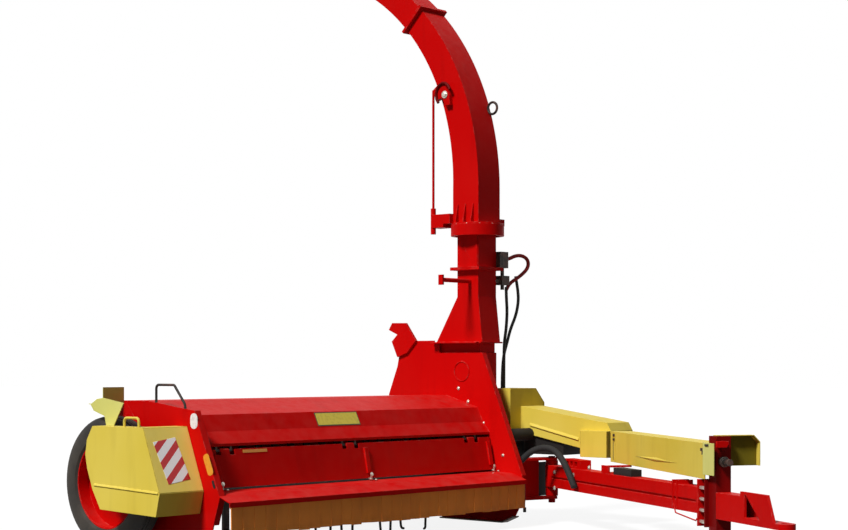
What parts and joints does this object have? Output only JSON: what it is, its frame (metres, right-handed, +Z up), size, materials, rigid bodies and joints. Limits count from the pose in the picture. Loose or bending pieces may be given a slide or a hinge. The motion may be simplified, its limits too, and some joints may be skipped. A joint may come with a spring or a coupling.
{
  "type": "forage harvester",
  "caption": "Trailed flail forage harvester: low wide header with front door, rubber curtain and hooked flail rotor, side blower with tall swivelling spout, swinging drawbar and two tyres.",
  "frame": {"origin": "middle of the footprint of the overall box, on the ground", "axes": "+Z up, -Y towards the front of the machine and its feed opening, +X towards the machine's left side, where the drawbar, the blower and the spout are"},
  "size_m": [3.3, 4.7952, 3.8716],
  "materials": {
    "red_paint": "glossy red machine paint, faded and dusty",
    "yellow_paint": "yellow paint, slightly chalky",
    "bare_steel": "worn plain steel",
    "dark_iron": "dark oily iron",
    "tyre": "dusty tyre rubber",
    "curtain_rubber": "brown reinforced rubber belting",
    "hose_rubber": "black ribbed hose",
    "warning_stripes": "white plate with red diagonal stripes"
  },
  "bodies": {
    "header": {"side_plate_right": "red_paint", "side_plate_left": "red_paint", "skids": "red_paint", "roof_hood": "red_paint", "rear_trough": "red_paint", "feed_lip": "red_paint", "strip_curtain": "curtain_rubber", "door_hinge_pins": "dark_iron", "rotor_bearings": "dark_iron", "wheel_arm_right": "red_paint", "wheel_arm_left": "red_paint", "axle_tube": "red_paint", "belt_guard": "yellow_paint", "warning_plate": "warning_stripes", "guard_handle": "yellow_paint", "guard_bracket": "yellow_paint", "roof_handle": "dark_iron", "blower_casing": "red_paint", "throat": "red_paint", "hopper": "red_paint", "neck": "red_paint", "lock_pin": "red_paint", "valve_block": "dark_iron", "lock_ear": "red_paint", "swing_bracket": "red_paint", "hose_gland": "dark_iron", "swing_hose": "hose_rubber", "drive_cover": "yellow_paint", "gearbox_guard": "yellow_paint", "gearbox": "dark_iron"},
    "door": {"front_door": "red_paint", "door_latches": "red_paint"},
    "rotor": {"flail_rotor": "dark_iron"},
    "wheel_right": {"tyre_right": "tyre", "rim_right": "red_paint"},
    "wheel_left": {"tyre_left": "tyre", "rim_left": "red_paint"},
    "spout": {"turret": "red_paint", "spout_base": "red_paint", "spout_lower": "red_paint", "spout_upper": "red_paint", "crank_bracket": "red_paint", "control_rod": "red_paint", "spout_bracket": "red_paint", "lifting_ring": "dark_iron"},
    "flap": {"spout_flap": "red_paint"},
    "drawbar": {"drawbar_beam": "red_paint", "end_plate": "red_paint", "spacer_bolts": "bare_steel", "beam_anchor": "red_paint", "guard_stand": "red_paint", "rest_block": "dark_iron", "hitch_tongue": "red_paint", "bearing_post": "red_paint", "drive_guard": "yellow_paint", "guard_cap": "yellow_paint", "input_shield": "yellow_paint"},
    "shaft": {"drive_shaft": "dark_iron"},
    "jack": {"jack_leg": "bare_steel"}
  },
  "joints": [
    {"name": "door_hinge", "type": "hinge", "parent": "header", "child": "door", "pos_m": [-0.12, 0.44059, 0.549], "axis": [-1, 0, 0], "range_deg": [0, 75]},
    {"name": "rotor_spin", "type": "hinge", "parent": "header", "child": "rotor", "pos_m": [-0.12, 0.73759, 0.372], "axis": [1, 0, 0], "continuous": true},
    {"name": "wheel_right_spin", "type": "hinge", "parent": "header", "child": "wheel_right", "pos_m": [-1.4545, 0.96259, 0.366], "axis": [1, 0, 0], "continuous": true},
    {"name": "wheel_left_spin", "type": "hinge", "parent": "header", "child": "wheel_left", "pos_m": [1.3925, 0.96259, 0.366], "axis": [1, 0, 0], "continuous": true},
    {"name": "spout_swivel", "type": "hinge", "parent": "header", "child": "spout", "pos_m": [1.21, 0.61659, 1.85], "axis": [0, 0, 1], "range_deg": [-100, 100]},
    {"name": "flap_hinge", "type": "hinge", "parent": "spout", "child": "flap", "pos_m": [1.215, 2.04343, 3.85461], "axis": [1, 0, 0], "range_deg": [-25, 20]},
    {"name": "drawbar_swing", "type": "hinge", "parent": "header", "child": "drawbar", "pos_m": [1.51, 0.24259, 0.3], "axis": [0, 0, 1], "range_deg": [0, 60]},
    {"name": "drive_spin", "type": "hinge", "parent": "drawbar", "child": "shaft", "pos_m": [0.35267, -1.75776, 0.51], "axis": [-0.606, -0.7955, 0], "continuous": true},
    {"name": "jack_slide", "type": "slide", "parent": "drawbar", "child": "jack", "axis": [0, 0, 1], "range_m": [0, 0.13]}
  ]
}
